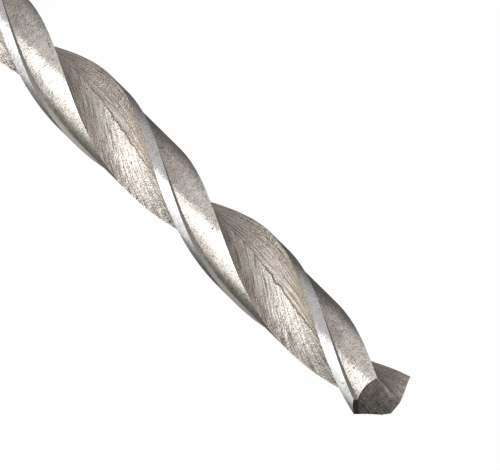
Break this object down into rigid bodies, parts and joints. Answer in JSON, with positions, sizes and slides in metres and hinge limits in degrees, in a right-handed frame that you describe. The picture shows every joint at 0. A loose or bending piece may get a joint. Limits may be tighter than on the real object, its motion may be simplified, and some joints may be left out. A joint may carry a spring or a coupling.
{
  "type": "center drill",
  "caption": "slender steel twist drill with a plain round shank, spiral flutes, narrow guiding margins on relieved lands and a chisel point, used to centre a core bit or hole saw",
  "frame": {"origin": "centre of the flat end of the shank, on the drill's axis", "axes": "+Z runs along the axis from the shank end to the point; +X and +Y are square to it, and the drill turns half way round onto itself about +Z"},
  "size_m": [0.008, 0.008, 0.12],
  "materials": {
    "ground_steel": "ground and milled bright steel with fine tool marks"
  },
  "bodies": {
    "root": {"center_drill": "ground_steel"}
  },
  "joints": []
}
